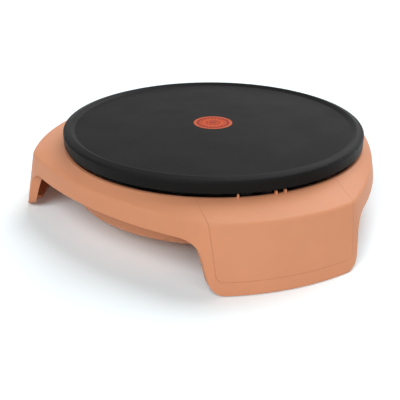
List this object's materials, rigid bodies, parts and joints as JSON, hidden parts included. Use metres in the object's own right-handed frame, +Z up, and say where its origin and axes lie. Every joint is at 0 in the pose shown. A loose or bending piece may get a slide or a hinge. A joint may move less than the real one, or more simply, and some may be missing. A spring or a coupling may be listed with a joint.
{
  "type": "electric crepe maker",
  "caption": "Round electric crepe maker: a lift-off black cast plate with a raised rim and heat indicator on a flared, legged terracotta base.",
  "frame": {"origin": "on the table, at the middle of the base's footprint box; the plate's axis stands 16.2 mm behind it, on +Y", "axes": "+Z up along the plate's axis; the front leg with the trim panel points along -Y; the part is symmetric across X, apart from its small stop ribs and inner wiring"},
  "size_m": [0.4216, 0.3958, 0.094],
  "materials": {
    "plate": "black non-stick coating, satin on top and glossy on the skirt",
    "indicator": "printed heat indicator, orange red",
    "shell": "fine-textured moulded plastic, warm terracotta",
    "tub": "fine-textured moulded plastic, warm terracotta",
    "rubber": "soft black rubber",
    "gland": "black rubber",
    "reflector": "bright rolled aluminium",
    "sheath": "dull oxidised steel",
    "steel": "zinc-plated steel",
    "sensor": "pressed aluminium",
    "ceramic": "unglazed ceramic",
    "brass": "tinned brass",
    "black_plastic": "black heat-resistant plastic",
    "block": "pale nylon",
    "wire_brown": "brown silicone insulation",
    "wire_blue": "blue silicone insulation",
    "wire_white": "white glass-braid insulation",
    "wire_earth": "green and yellow insulation"
  },
  "bodies": {
    "base": {"base_shell": "shell", "front_panel": "shell", "foot_pads": "rubber", "bottom_tub": "tub", "cord_gland": "gland", "support_posts": "ceramic", "post_screws": "steel", "reflector": "reflector", "reflector_screws": "steel", "heating_element": "sheath", "element_bushings": "ceramic", "element_brackets": "steel", "bracket_screws": "steel", "element_tabs": "brass", "spade_connectors": "brass", "sensor_holder": "steel", "holder_screws": "steel", "sensor_spring": "steel", "crimp_sleeves": "brass", "terminal_block": "block", "clamp_screws": "brass", "block_screws": "steel", "neutral_wire": "wire_blue", "live_wire": "wire_brown", "link_wires": "wire_white", "earth_wire": "wire_earth", "ring_terminal": "brass", "earth_screw": "steel", "thermal_fuse": "steel", "fuse_clip": "steel", "housing_screws": "steel"},
    "plate": {"cooking_plate": "plate", "heat_indicator": "indicator"},
    "sensor": {"sensor_cup": "sensor", "thermostat_capsule": "black_plastic", "sensor_leads": "wire_white"}
  },
  "joints": [
    {"name": "plate_lift", "type": "slide", "parent": "base", "child": "plate", "axis": [0, 0, 1], "range_m": [0, 0.06]},
    {"name": "sensor_press", "type": "slide", "parent": "base", "child": "sensor", "axis": [0, 0, 1], "range_m": [-0.0025, 0], "stiffness_N_per_m": 800, "springref_m": 0.002, "deforming": ["sensor_spring"]}
  ]
}
